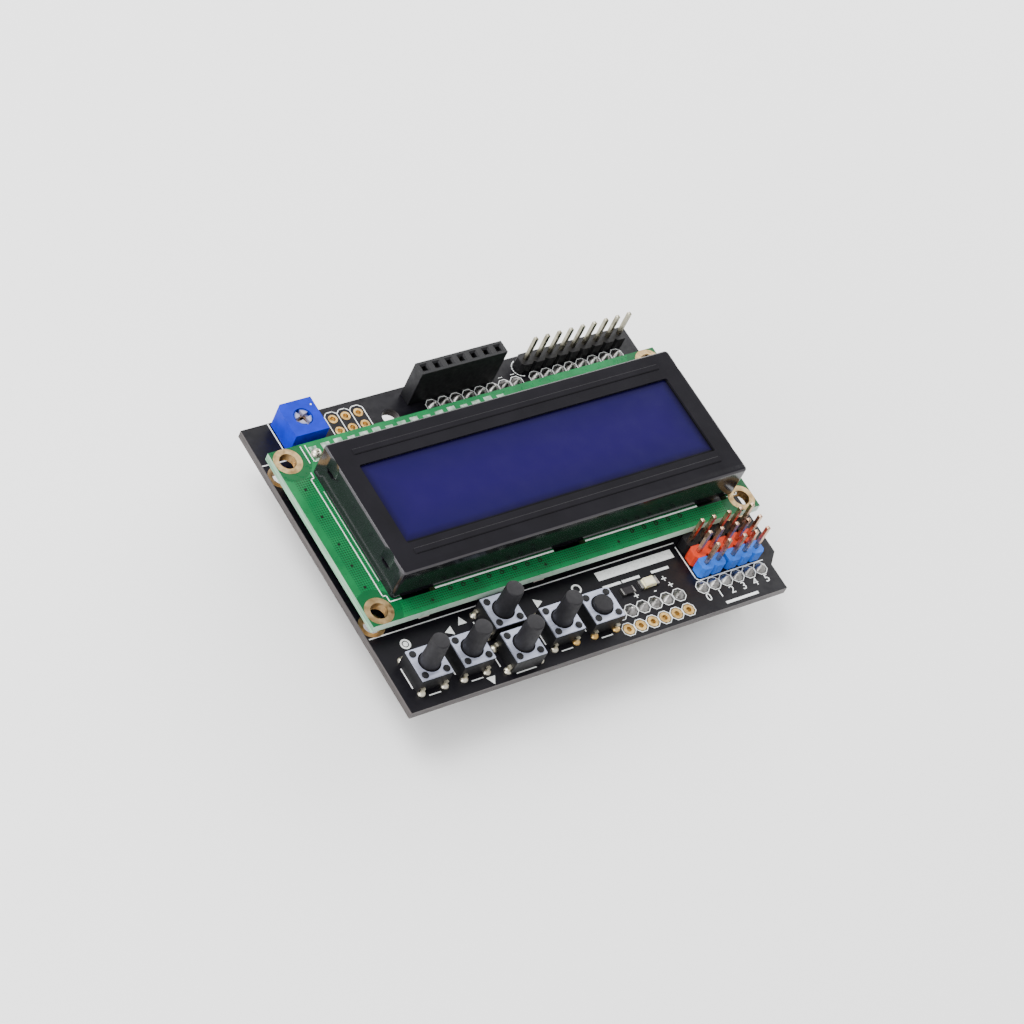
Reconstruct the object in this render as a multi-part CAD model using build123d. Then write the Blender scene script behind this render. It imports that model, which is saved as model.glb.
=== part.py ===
from build123d import *
import math
import os

# The layout is drawn from the corner of the header grid, on the carrier board's top face.
# X runs along the boards, Y towards the back, Z up. The finished part is moved at the end.

# Pin grid and pins
pitch = 2.54
pin_side = 0.64
pin_point = 0.2
pin_play = 0.02
pin_hole_play = 0.12
open_hole_radius = 0.5
strip_height = 2.54
strip_width = 2.5
strip_notch = 0.45
solder_tail = 1.4
seat_gap = 0.06

# Carrier board
board_length = 80.0
board_width = 58.4
board_thickness = 1.6
board_left = -11.8
board_front = -2.54
end_notch_depth = 2.16
end_notch_length = 5.08
grid_hole_x = 15.24
grid_hole_radius = 1.6
board_back = board_front + board_width
board_right = board_left + board_length

# Headers under the carrier board
digital_row_y = 50.8
analog_row_y = 2.54
digital_low_x = 23.876
digital_high_x = 45.72
digital_count = 8
power_x = 33.02
analog_x = 50.8
analog_count = 6
stub_height = 0.8
pin_reach = 6.0

# Back edge of the carrier board
back_row_y = 53.34
icsp_x = 4.98
icsp_columns = 3
socket_x = 20.65
socket_count = 7
socket_width = 2.5
socket_height = 8.5
socket_end = 1.27
socket_mouth = 0.94
mouth_lead = 0.3
mouth_lead_slope = 0.29
chamber_side = 1.7
chamber_top = 7.3
contact_sheet = 0.2
contact_width = 0.8
contact_gap = 0.5
contact_flare = 1.2
nine_pin_x = 44.04
nine_pin_count = 9
tall_pin_height = 8.5
spare_row_y = -0.6

# Sensor headers at the right end
signal_first_y = 5.4
signal_pair_x = 52.3
signal_triple_x = 58.1

# Display board
lcd_length = 80.0
lcd_width = 36.0
lcd_thickness = 1.6
lcd_overhang = 0.43
lcd_front_inset = 14.41
lcd_hole_inset = 2.5
lcd_hole_radius = 1.5
lcd_pin_offset = 8.0
lcd_pin_inset = 2.47
lcd_pin_count = 16
lcd_pin_stub = 1.0
lcd_left = board_left - lcd_overhang
lcd_front = board_front + lcd_front_inset
lcd_centre_x = lcd_left + lcd_length / 2
lcd_centre_y = lcd_front + lcd_width / 2
lcd_back = lcd_front + lcd_width
lcd_bottom = strip_height + seat_gap
lcd_top = lcd_bottom + lcd_thickness

# Display frame
bezel_end_margin = 4.5
bezel_width = 26.3
bezel_height = 6.9
bezel_sheet = 0.45
bezel_offset_x = 1.16
bezel_offset_y = -0.41
bezel_corner = 0.7
bezel_edge = 0.4
window_end_margin = 3.7
window_width = 16.2
window_offset_y = -0.39
window_corner = 0.4
rib_end_margin = 4.0
rib_width = 1.1
rib_rise = 0.22
rib_bevel = 0.13
rib_offset = 10.3
dent_offset = 9.2
dent_radius = 3.6
dent_depth = 0.3
dent_height = 3.0
slit_width = 1.7
slit_height = 0.4
tab_width = 3.4
tab_fold = 1.6
tab_end_margin = 5.0
tab_slot_length = 6.4
tab_slot_front = 1.3
tab_slot_play = 0.3
bezel_length = lcd_length - 2 * bezel_end_margin
window_length = bezel_length - 2 * window_end_margin
rib_length = bezel_length - 2 * rib_end_margin
tab_spacing = bezel_length / 2 - tab_end_margin

# Display stack
stack_play = 0.2
film_thickness = 0.2
film_margin = 1.2
glass_thickness = 1.1
glass_ledge = 2.8
zebra_width = 1.8
guide_lift = 0.1
led_board_length = 1.0

# Chips and resistors of the display board
chip_height = 1.2
chip_radius = 6.0
chip_shoulder_radius = 4.6
chip_shoulder_height = 0.8
chip_crown_radius = 2.4
chip_spacing = 30.0
chip_wide = 2.0
chip_deep = 1.25
chip_thick = 0.5
chip_end = 0.35
chip_end_rise = 0.03
edge_resistor_left_x = -1.7
edge_resistor_right_x = 21.3
edge_resistor_gap = 0.1

# Push buttons
button_side = 6.0
button_base_height = 3.2
button_plate_side = 5.9
button_plate_thickness = 0.3
button_plate_hole = 2.0
cavity_radius = 2.4
cavity_floor = 1.3
rivet_offset = 2.08
rivet_radius = 0.45
rivet_head_spread = 0.18
rivet_head_height = 0.15
rivet_play = 0.04
flange_radius = 2.2
flange_thickness = 0.55
flange_gap = 0.05
nub_radius = 0.8
nub_height = 0.4
plunger_radius = 1.65
plunger_edge = 0.2
plunger_top = 9.6
reset_top = 4.35
dome_gap = 0.32
dome_radius = 2.05
dome_crown_radius = 1.1
dome_sheet = 0.1
dome_sides = 12
strip_metal = 0.3
leg_width = 0.7
leg_row = 2.25
leg_spacing = 6.5
tongue_width = 0.9
tongue_tip = 0.5
select_x = -6.1
left_x = 2.2
up_x = 11.35
down_x = 11.25
right_x = 20.3
reset_x = 28.55
button_row_y = 3.5
up_y = 8.3
down_y = 1.45
button_places = {
    "select": (select_x, button_row_y, 0, plunger_top),
    "left": (left_x, button_row_y, 0, plunger_top),
    "up": (up_x, up_y, 90, plunger_top),
    "down": (down_x, down_y, 90, plunger_top),
    "right": (right_x, button_row_y, 0, plunger_top),
    "reset": (reset_x, button_row_y, 0, reset_top),
}

# Trimmer
trimmer_x = -3.15
trimmer_y = 52.3
trimmer_length = 6.5
trimmer_width = 6.8
trimmer_foot = 0.3
trimmer_height = 4.85
trimmer_corner = 0.45
foot_side = 0.8
foot_inset = 0.9
rotor_radius = 1.55
rotor_play = 0.15
rotor_depth = 1.5
rotor_floor_gap = 0.1
rotor_sink = 0.1
rotor_turn = 14.0
slot_width = 0.75
slot_depth = 0.7
trimmer_lead_radius = 0.25
trimmer_lead_row = 2.54

# Small parts on the carrier board
led_x = 41.45
led_y = 6.34
led_length = 3.2
led_wide = 1.6
led_base = 0.5
led_lens_height = 0.6
led_lens_length = 2.0
led_lens_draft = 0.15
led_resistor_x = 36.92
led_resistor_y = 6.04
ladder_x = 14.0
ladder_y = 14.6
ladder_count = 5
ladder_spacing = 3.6
transistor_x = 41.0
transistor_y = 40.6
transistor_length = 2.9
transistor_wide = 1.3
transistor_height = 1.0
transistor_foot = 0.4
transistor_lead = 0.15
transistor_lead_offset = 0.95


def block(x0, x1, y0, y1, z0, z1):
    """A block between two corners."""
    return Pos((x0 + x1) / 2, (y0 + y1) / 2, (z0 + z1) / 2) * Box(x1 - x0, y1 - y0, z1 - z0)


def slab(cx, cy, length, width, z0, z1):
    """A block on a centre, between two heights."""
    return Pos(cx, cy, (z0 + z1) / 2) * Box(length, width, z1 - z0)


def post(x, y, radius, z0, z1):
    """An upright round post between two heights."""
    return Pos(x, y, (z0 + z1) / 2) * Cylinder(radius, z1 - z0)


def row(x, y, count):
    """The places of a row of pins on the grid."""
    return [(x + i * pitch, y) for i in range(count)]


def group(shapes):
    """Several separate solids kept as one piece of the model."""
    return Compound(children=shapes)


# Rows of pins, shared by the boards' holes, the plastic strips and the pins
lcd_pin_y = lcd_back - lcd_pin_inset
digital_low = row(digital_low_x, digital_row_y, digital_count)
digital_high = row(digital_high_x, digital_row_y, digital_count)
power = row(power_x, analog_row_y, analog_count)
analog = row(analog_x, analog_row_y, analog_count)
spare = row(power_x, spare_row_y, analog_count)
icsp = row(icsp_x, back_row_y, icsp_columns) + row(icsp_x, digital_row_y, icsp_columns)
socket = row(socket_x, back_row_y, socket_count)
nine_pin = row(nine_pin_x, back_row_y, nine_pin_count)
lcd_pins = row(lcd_left + lcd_pin_offset, lcd_pin_y, lcd_pin_count)
signal_rows = {
    color: (row(signal_pair_x, signal_first_y + i * pitch, 2), row(signal_triple_x, signal_first_y + i * pitch, 3))
    for i, color in enumerate(("blue", "red", "black"))
}
signal = [place for pair, triple in signal_rows.values() for place in pair + triple]
trimmer_leads = [
    (trimmer_x - pitch, trimmer_y - trimmer_lead_row / 2),
    (trimmer_x, trimmer_y + trimmer_lead_row / 2),
    (trimmer_x + pitch, trimmer_y - trimmer_lead_row / 2),
]
lcd_corners = [
    (lcd_centre_x + i * (lcd_length / 2 - lcd_hole_inset), lcd_centre_y + j * (lcd_width / 2 - lcd_hole_inset))
    for i in (-1, 1)
    for j in (-1, 1)
]


def turned(x, y, angle):
    """A place turned about the centre of a button."""
    turn = math.radians(angle)
    return x * math.cos(turn) - y * math.sin(turn), x * math.sin(turn) + y * math.cos(turn)


def leg_slots():
    """The slots that the buttons' legs pass through."""
    slot = Rectangle(leg_width + 2 * pin_hole_play, strip_metal + 2 * pin_hole_play)
    slots = []
    for cx, cy, angle, top in button_places.values():
        for x in (-leg_row, leg_row):
            for y in (-leg_spacing / 2, leg_spacing / 2):
                dx, dy = turned(x, y, angle)
                slots.append(Pos(cx + dx, cy + dy) * Rot(0, 0, angle) * slot)
    return slots


def pin_holes(places):
    """Holes that a soldered pin fills, as square as the pins in them."""
    side = pin_side + 2 * pin_hole_play
    return [Pos(x, y) * Rectangle(side, side) for x, y in places]


def round_holes(places, radius):
    """Round holes for one plate outline."""
    return [Pos(x, y) * Circle(radius) for x, y in places]


# Boards
def shield_board():
    inner = board_right - end_notch_depth
    shoulder = board_front + end_notch_length
    outline = Polyline(
        (board_left, board_front),
        (inner, board_front),
        (inner, shoulder),
        (board_right, shoulder + end_notch_depth),
        (board_right, board_back),
        (board_left, board_back),
        close=True,
    )
    face = make_face(outline)
    face -= pin_holes(digital_low + digital_high + power + analog + socket + nine_pin + signal + lcd_pins)
    face -= pin_holes(trimmer_leads) + leg_slots()
    face -= round_holes(spare + icsp, open_hole_radius)
    face -= round_holes(lcd_corners, lcd_hole_radius)
    face -= round_holes([(grid_hole_x, digital_row_y)], grid_hole_radius)
    return extrude(face, -board_thickness)


bezel_x = lcd_centre_x + bezel_offset_x
bezel_y = lcd_centre_y + bezel_offset_y
bezel_top = lcd_top + bezel_height
tab_xs = [bezel_x + i * tab_spacing for i in (-1, 0, 1)]


def lcd_board():
    face = Pos(lcd_centre_x, lcd_centre_y) * Rectangle(lcd_length, lcd_width)
    face -= pin_holes(lcd_pins)
    face -= round_holes(lcd_corners, lcd_hole_radius)
    slot_width_y = tab_slot_front + bezel_sheet + tab_slot_play
    for side in (-1, 1):
        wall = bezel_y + side * (bezel_width / 2 - bezel_sheet - tab_slot_play)
        for x in tab_xs:
            face -= Pos(x, wall + side * slot_width_y / 2) * Rectangle(tab_slot_length, slot_width_y)
    return extrude(Pos(0, 0, lcd_bottom) * face, lcd_thickness)


# Display frame, pressed from one sheet
def bezel_rib(inset, z0):
    """The two long embossed ribs, or their hollows on the inside."""
    ribs = []
    for side in (-1, 1):
        rib = slab(0, side * rib_offset, rib_length - 2 * inset, rib_width - 2 * inset, z0, z0 + rib_rise)
        ribs.append(chamfer(rib.faces().sort_by(Axis.Z)[-1].edges(), rib_bevel))
    return ribs


def lcd_bezel():
    shell = slab(0, 0, bezel_length, bezel_width, lcd_top, bezel_top)
    shell = fillet(shell.edges().filter_by(Axis.Z), bezel_corner)
    shell = fillet(shell.faces().sort_by(Axis.Z)[-1].edges(), bezel_edge)
    inner_length = bezel_length - 2 * bezel_sheet
    inner_width = bezel_width - 2 * bezel_sheet
    hollow = slab(0, 0, inner_length, inner_width, lcd_top - bezel_sheet, bezel_top - bezel_sheet)
    hollow = fillet(hollow.edges().filter_by(Axis.Z), bezel_corner - bezel_sheet)
    shell -= hollow
    window = Pos(0, window_offset_y) * Rectangle(window_length, window_width)
    window = fillet(window.vertices(), window_corner)
    shell -= extrude(Pos(0, 0, bezel_top) * window, 2 * bezel_sheet, both=True)
    for rib in bezel_rib(0, bezel_top):
        shell += rib
    for rib in bezel_rib(rib_rise / 2, bezel_top - bezel_sheet):
        shell -= rib
    # Pressed dents and punched slits on the short sides
    slit_z = bezel_top - dent_height
    slit_depth = 4 * bezel_sheet
    for end in (-1, 1):
        for side in (-1, 1):
            dent_x = end * (bezel_length / 2 + dent_radius - dent_depth)
            shell -= post(dent_x, side * dent_offset, dent_radius, slit_z, bezel_top)
            shell -= slab(end * bezel_length / 2, side * dent_offset, slit_depth, slit_width, slit_z - slit_height, slit_z)
    # Tabs through the display board, folded under it
    for end in (-1, 0, 1):
        for side in (-1, 1):
            x0 = end * tab_spacing - tab_width / 2
            outer = side * bezel_width / 2
            inner = outer - side * bezel_sheet
            fold = outer - side * tab_fold
            under = lcd_bottom - seat_gap
            leg = block(x0, x0 + tab_width, min(outer, inner), max(outer, inner), under - bezel_sheet, lcd_top)
            foot = block(x0, x0 + tab_width, min(outer, fold), max(outer, fold), under - bezel_sheet, under)
            shell += leg + foot
    return Pos(bezel_x, bezel_y) * shell


# Display stack, from the window down to the board
film_top = bezel_top - bezel_sheet - seat_gap
glass_top = film_top - film_thickness
rear_glass_top = glass_top - glass_thickness
rear_film_top = rear_glass_top - glass_thickness
guide_top = rear_film_top - film_thickness
glass_length = bezel_length - 2 * (bezel_sheet + stack_play)
glass_width = bezel_width - 2 * (bezel_sheet + stack_play)
rear_glass_width = glass_width - 2 * glass_ledge
film_length = window_length + 2 * film_margin
film_width = window_width + 2 * film_margin


def sheet(length, width, top, thickness):
    return slab(bezel_x, bezel_y, length, width, top - thickness, top)


def zebra_strips():
    offset = (rear_glass_width + glass_ledge) / 2
    bars = [
        slab(bezel_x, bezel_y + side * offset, film_length, zebra_width, lcd_top, rear_glass_top)
        for side in (-1, 1)
    ]
    return group(bars)


def backlight_guide():
    bottom = lcd_top + guide_lift
    guide = slab(bezel_x, bezel_y, film_length, film_width, bottom, guide_top)
    return chamfer(guide.faces().sort_by(Axis.Z)[0].edges(), seat_gap)


def backlight_led_board():
    x0 = bezel_x + film_length / 2 + seat_gap
    z0 = lcd_top + guide_lift
    board = block(x0 + led_board_length / 2, x0 + led_board_length, bezel_y - film_width / 2,
                  bezel_y + film_width / 2, z0, guide_top - guide_lift)
    for i in (-1, 0, 1):
        middle = (z0 + guide_top) / 2
        y = bezel_y + i * film_width / 3
        board += block(x0, x0 + led_board_length / 2, y - led_wide / 2, y + led_wide / 2,
                       middle - led_wide / 2, middle + led_wide / 2)
    return board


def driver_chips():
    """Two moulded drops under the display board."""
    profile = Polyline(
        (0, 0),
        (chip_radius, 0),
        (chip_shoulder_radius, -chip_shoulder_height),
        (chip_crown_radius, -chip_height),
        (0, -chip_height),
        close=True,
    )
    drop = revolve(Plane.XZ * make_face(profile), Axis.Z)
    return group([Pos(lcd_centre_x + i * chip_spacing / 2, lcd_centre_y, lcd_bottom) * drop for i in (-1, 1)])


def chip_resistor(x, y, z, turn=0):
    """A surface mounted resistor with metal ends."""
    body = slab(0, 0, chip_wide, chip_deep, 0, chip_thick)
    for side in (-1, 1):
        end_x = side * (chip_wide - chip_end) / 2
        body += slab(end_x, 0, chip_end, chip_deep + 2 * chip_end_rise, 0, chip_thick + chip_end_rise)
    return Pos(x, y, z) * Rot(0, 0, turn) * body


def lcd_chip_resistors():
    y = lcd_front + chip_deep / 2 + edge_resistor_gap
    z = lcd_bottom - chip_thick - chip_end_rise
    return group([chip_resistor(x, y, z) for x in (edge_resistor_left_x, edge_resistor_right_x)])


# Headers
def strip(places, z0):
    """A snap-off header strip, notched between its pins and drilled for them."""
    half = pitch / 2
    y = places[0][1]
    left = places[0][0] - half
    front = [(left, -strip_width / 2 + strip_notch)]
    for i in range(len(places)):
        x = left + i * pitch
        front.append((x + strip_notch, -strip_width / 2))
        front.append((x + pitch - strip_notch, -strip_width / 2))
        front.append((x + pitch, -strip_width / 2 + strip_notch))
    back = [(x, -dy) for x, dy in reversed(front)]
    face = make_face(Polyline(*front, *back, close=True))
    hole = pin_side + 2 * pin_play
    face -= [Pos(x, 0) * Rectangle(hole, hole) for x, y_pin in places]
    return extrude(Pos(0, y, z0) * face, strip_height)


def pins(places, z0, z1):
    """Square pins with blunt points at both ends."""
    pin = slab(0, 0, pin_side, pin_side, z0, z1)
    ends = pin.faces().sort_by(Axis.Z)[0].edges() + pin.faces().sort_by(Axis.Z)[-1].edges()
    pin = chamfer(ends, pin_point)
    return group([Pos(x, y) * pin for x, y in places])


under_strip = -board_thickness - seat_gap - strip_height
part_bottom = under_strip - pin_reach
tail_bottom = -board_thickness - solder_tail


def module_socket_body():
    """The seven-way socket: one square mouth and one contact chamber for each pin."""
    x0 = socket_x - socket_end
    x1 = socket_x + (socket_count - 1) * pitch + socket_end
    y0 = back_row_y - socket_width / 2
    body = block(x0, x1, y0, y0 + socket_width, seat_gap, socket_height)
    rim_side = socket_mouth + 2 * mouth_lead
    for x, y in socket:
        body -= slab(x, y, chamber_side, chamber_side, seat_gap, chamber_top)
        opening = slab(x, y, socket_mouth, socket_mouth, chamber_top, socket_height)
        rim = slab(x, y, rim_side, rim_side, socket_height - mouth_lead, socket_height)
        rim = chamfer(rim.faces().sort_by(Axis.Z)[0].edges(), mouth_lead_slope)
        body -= opening + rim
    return body


def module_socket_contacts():
    """Fork contacts: two springs on a bridge, with a solder tail below."""
    reach = chamber_side / 2 - seat_gap
    pinch = chamber_top - contact_flare
    profile = Polyline(
        (-reach, contact_sheet + seat_gap),
        (-contact_gap / 2 - contact_sheet, pinch),
        (-reach, chamber_top - seat_gap),
        (-reach + contact_sheet, chamber_top - seat_gap),
        (-contact_gap / 2, pinch),
        (-reach + contact_sheet, contact_sheet + seat_gap),
        (reach - contact_sheet, contact_sheet + seat_gap),
        (contact_gap / 2, pinch),
        (reach - contact_sheet, chamber_top - seat_gap),
        (reach, chamber_top - seat_gap),
        (contact_gap / 2 + contact_sheet, pinch),
        (reach, contact_sheet + seat_gap),
        (reach, seat_gap),
        (contact_sheet, seat_gap),
        (contact_sheet, tail_bottom),
        (-contact_sheet, tail_bottom),
        (-contact_sheet, seat_gap),
        (-reach, seat_gap),
        close=True,
    )
    fork = extrude(Plane.XZ * make_face(profile), contact_width / 2, both=True)
    return group([Pos(x, y) * fork for x, y in socket])


def signal_strips(color):
    pair, triple = signal_rows[color]
    return group([strip(pair, seat_gap), strip(triple, seat_gap)])


# Push buttons, drawn on their own centres with their legs at the front and back
strip_top = cavity_floor
strip_bottom = cavity_floor - strip_metal
flange_top = button_base_height - flange_gap
flange_bottom = flange_top - flange_thickness
nub_bottom = flange_bottom - nub_height
dome_top = nub_bottom - dome_gap
corners = [(i * rivet_offset, j * rivet_offset) for i in (-1, 1) for j in (-1, 1)]


def placed(shape, name):
    x, y, angle, top = button_places[name]
    return Pos(x, y) * Rot(0, 0, angle) * shape


def tongue(play):
    """The bridge from one contact strip to the middle of the button."""
    x1 = leg_row - leg_width / 2
    half = tongue_width / 2 + play
    return block(-tongue_tip - play, x1, -half, half, strip_bottom - play, strip_top)


def rivet_outline(spread):
    """The eight-sided shank of a rivet post, its flattened head or its hole in the plate."""
    return RegularPolygon(rivet_radius + spread, 8)


def button_base():
    """The moulded base: a round cavity, channels for the contact strips and four rivet posts."""
    base = slab(0, 0, button_side, button_side, seat_gap, button_base_height)
    base -= post(0, 0, cavity_radius, cavity_floor, button_base_height)
    for side in (-1, 1):
        wide = leg_width + 2 * pin_play
        base -= slab(side * leg_row, 0, wide, button_side, strip_bottom - pin_play, strip_top + pin_play)
    base -= tongue(pin_play)
    shank = extrude(rivet_outline(0), button_plate_thickness)
    head = extrude(rivet_outline(rivet_head_spread), rivet_head_height)
    for x, y in corners:
        base += Pos(x, y, button_base_height) * shank
        base += Pos(x, y, button_base_height + button_plate_thickness) * head
    return base


def button_cover():
    """The metal plate that holds the plunger in."""
    face = Rectangle(button_plate_side, button_plate_side)
    face -= Circle(button_plate_hole)
    face -= [Pos(x, y) * rivet_outline(rivet_play) for x, y in corners]
    return extrude(Pos(0, 0, button_base_height) * face, button_plate_thickness)


def button_plunger(top):
    """Shaft, retaining flange and the nub that presses the dome, turned as one piece."""
    profile = Polyline(
        (0, nub_bottom),
        (nub_radius, nub_bottom),
        (nub_radius, flange_bottom),
        (flange_radius, flange_bottom),
        (flange_radius, flange_top),
        (plunger_radius, flange_top),
        (plunger_radius, top),
        (0, top),
        close=True,
    )
    plunger = revolve(Plane.XZ * make_face(profile), Axis.Z)
    return chamfer(plunger.edges().filter_by(GeomType.CIRCLE).sort_by(Axis.Z)[-1], plunger_edge)


def contact_strips():
    """Two stamped strips, each with a leg at both ends; one carries the middle contact."""
    reach = (leg_spacing + strip_metal) / 2
    inner = (leg_spacing - strip_metal) / 2
    profile = Polyline(
        (-reach, tail_bottom),
        (-reach, strip_top),
        (reach, strip_top),
        (reach, tail_bottom),
        (inner, tail_bottom),
        (inner, strip_bottom),
        (-inner, strip_bottom),
        (-inner, tail_bottom),
        close=True,
    )
    staple = extrude(Plane.YZ * make_face(profile), leg_width / 2, both=True)
    return [Pos(-leg_row, 0) * staple, Pos(leg_row, 0) * staple + tongue(0)]


def snap_dome():
    """The dished spring that rests on the contact strips: a flat crown on a sloping skirt."""
    rise = dome_top - strip_top
    taper = math.degrees(math.atan((dome_radius - dome_crown_radius) / rise))
    dish = extrude(RegularPolygon(dome_radius, dome_sides), rise, taper=taper)
    inside = extrude(RegularPolygon(dome_radius - dome_sheet, dome_sides), rise - dome_sheet, taper=taper)
    return Pos(0, 0, strip_top) * (dish - inside)


def switch_contacts():
    return group([placed(metal, name) for name in button_places for metal in contact_strips()])


def switch_domes():
    return group([placed(snap_dome(), name) for name in button_places])


# Trimmer
trimmer_top = trimmer_foot + trimmer_height


def trimmer_body():
    """The sealed block with its rotor well, a cut corner and four feet."""
    body = slab(0, 0, trimmer_length, trimmer_width, trimmer_foot, trimmer_top)
    uprights = body.edges().filter_by(Axis.Z)
    body = chamfer(uprights.group_by(Axis.X)[0].sort_by(Axis.Y)[-1], trimmer_corner)
    well_floor = trimmer_top - rotor_sink - rotor_depth - rotor_floor_gap
    body -= post(0, 0, rotor_radius + rotor_play, well_floor, trimmer_top)
    for i in (-1, 1):
        for j in (-1, 1):
            x = i * (trimmer_length / 2 - foot_inset)
            y = j * (trimmer_width / 2 - foot_inset)
            body += slab(x, y, foot_side, foot_side, seat_gap, trimmer_foot)
    return Pos(trimmer_x, trimmer_y) * body


def trimmer_rotor():
    """The turning disc with its cross slot."""
    top = trimmer_top - rotor_sink
    rotor = post(0, 0, rotor_radius, top - rotor_depth, top)
    for angle in (0, 90):
        rotor -= Rot(0, 0, angle) * slab(0, 0, 2 * rotor_radius, slot_width, top - slot_depth, top)
    return Pos(trimmer_x, trimmer_y) * Rot(0, 0, rotor_turn) * rotor


def trimmer_wires():
    wire = extrude(RegularPolygon(trimmer_lead_radius, 8), trimmer_foot - tail_bottom)
    return group([Pos(x, y, tail_bottom) * wire for x, y in trimmer_leads])


# Surface mounted parts
def power_led():
    base = slab(0, 0, led_length, led_wide, seat_gap, led_base)
    lens_top = led_base + led_lens_height
    lens = slab(0, 0, led_lens_length, led_wide, led_base, lens_top)
    lens = chamfer(lens.faces().sort_by(Axis.Z)[-1].edges(), led_lens_draft)
    return Pos(led_x, led_y) * (base + lens)


def ladder_resistors():
    xs = [ladder_x + i * ladder_spacing for i in range(ladder_count)]
    return group([chip_resistor(x, ladder_y, seat_gap, 90) for x in xs])


def backlight_transistor():
    """A three-legged moulded transistor with gull-wing leads."""
    body = slab(0, 0, transistor_length, transistor_wide, 2 * seat_gap, transistor_height)
    for x, side in ((-transistor_lead_offset, -1), (transistor_lead_offset, -1), (0, 1)):
        root = side * transistor_wide / 2
        knee = root + side * transistor_foot
        toe = knee + side * transistor_foot
        mid = transistor_height / 2
        x0 = x - transistor_foot / 2
        x1 = x + transistor_foot / 2
        body += block(x0, x1, min(root, knee), max(root, knee), mid, mid + transistor_lead)
        drop = sorted((knee, knee - side * transistor_lead))
        body += block(x0, x1, drop[0], drop[1], seat_gap, mid + transistor_lead)
        body += block(x0, x1, min(knee, toe), max(knee, toe), seat_gap, seat_gap + transistor_lead)
    return Pos(transistor_x, transistor_y) * body


parts = {
    "shield_board": shield_board(),
    "lcd_board": lcd_board(),
    "lcd_bezel": lcd_bezel(),
    "polarizer_front": sheet(film_length, film_width, film_top, film_thickness),
    "lcd_glass_front": sheet(glass_length, glass_width, glass_top, glass_thickness),
    "lcd_glass_rear": sheet(glass_length, rear_glass_width, rear_glass_top, glass_thickness),
    "polarizer_rear": sheet(film_length, film_width, rear_film_top, film_thickness),
    "zebra_strips": zebra_strips(),
    "backlight_guide": backlight_guide(),
    "backlight_led_board": backlight_led_board(),
    "driver_chips": driver_chips(),
    "lcd_chip_resistors": lcd_chip_resistors(),
    "lcd_header_strip": strip(lcd_pins, seat_gap / 2),
    "lcd_header_pins": pins(lcd_pins, tail_bottom, lcd_top + lcd_pin_stub),
    "digital_low_strip": strip(digital_low, under_strip),
    "digital_low_pins": pins(digital_low, part_bottom, stub_height),
    "digital_high_strip": strip(digital_high, under_strip),
    "digital_high_pins": pins(digital_high, part_bottom, stub_height),
    "power_strip": strip(power, under_strip),
    "power_pins": pins(power, part_bottom, stub_height),
    "analog_strip": strip(analog, under_strip),
    "analog_pins": pins(analog, part_bottom, stub_height),
    "module_socket_body": module_socket_body(),
    "module_socket_contacts": module_socket_contacts(),
    "nine_pin_strip": strip(nine_pin, seat_gap),
    "nine_pin_pins": pins(nine_pin, tail_bottom, tall_pin_height),
    "signal_strip_blue": signal_strips("blue"),
    "signal_strip_red": signal_strips("red"),
    "signal_strip_black": signal_strips("black"),
    "signal_pins": pins(signal, tail_bottom, tall_pin_height),
    "trimmer_body": trimmer_body(),
    "trimmer_rotor": trimmer_rotor(),
    "trimmer_leads": trimmer_wires(),
    "power_led": power_led(),
    "led_resistor": chip_resistor(led_resistor_x, led_resistor_y, seat_gap),
    "ladder_resistors": ladder_resistors(),
    "backlight_transistor": backlight_transistor(),
    "switch_contacts": switch_contacts(),
    "switch_domes": switch_domes(),
}
for name, (x, y, angle, top) in button_places.items():
    parts[name + "_base"] = placed(button_base(), name)
    parts[name + "_cover"] = placed(button_cover(), name)
    parts[name + "_plunger"] = placed(button_plunger(top), name)

# The part's own frame: the middle of its footprint, level with the tips of the long pins
lcd_right = lcd_left + lcd_length
centre_x = (min(board_left, lcd_left) + max(board_right, lcd_right)) / 2
centre_y = (min(board_front, lcd_front) + max(board_back, lcd_back)) / 2
frame = Pos(-centre_x, -centre_y, -part_bottom)

os.makedirs("parts", exist_ok=True)
for name, shape in parts.items():
    export_step(frame * shape, f"parts/{name}.step")
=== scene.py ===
import math
import bmesh
import bpy
from bpy.props import FloatProperty, FloatVectorProperty, PointerProperty
from mathutils import Matrix, Vector


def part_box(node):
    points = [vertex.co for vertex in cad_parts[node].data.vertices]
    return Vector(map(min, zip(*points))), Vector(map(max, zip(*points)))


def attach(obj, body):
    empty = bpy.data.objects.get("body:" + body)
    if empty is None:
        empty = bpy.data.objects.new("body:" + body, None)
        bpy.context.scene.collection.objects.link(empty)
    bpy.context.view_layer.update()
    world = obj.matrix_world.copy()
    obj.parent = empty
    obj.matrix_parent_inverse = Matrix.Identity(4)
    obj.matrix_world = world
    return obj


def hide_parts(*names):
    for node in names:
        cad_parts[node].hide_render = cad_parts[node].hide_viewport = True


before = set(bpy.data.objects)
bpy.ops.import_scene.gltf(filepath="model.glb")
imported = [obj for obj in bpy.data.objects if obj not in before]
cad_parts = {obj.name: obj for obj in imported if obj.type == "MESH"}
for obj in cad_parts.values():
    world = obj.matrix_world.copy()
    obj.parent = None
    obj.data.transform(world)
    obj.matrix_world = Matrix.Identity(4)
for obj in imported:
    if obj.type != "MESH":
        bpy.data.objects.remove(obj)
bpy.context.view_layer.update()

bl_info = {
    "name": "Display keypad module",
    "version": (1, 0, 0),
    "blender": (4, 5, 0),
    "location": "3D View > Sidebar > Module",
    "description": "Finishes a character display keypad board: print, solder, plating, paint and stage",
    "category": "Object",
}

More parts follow.
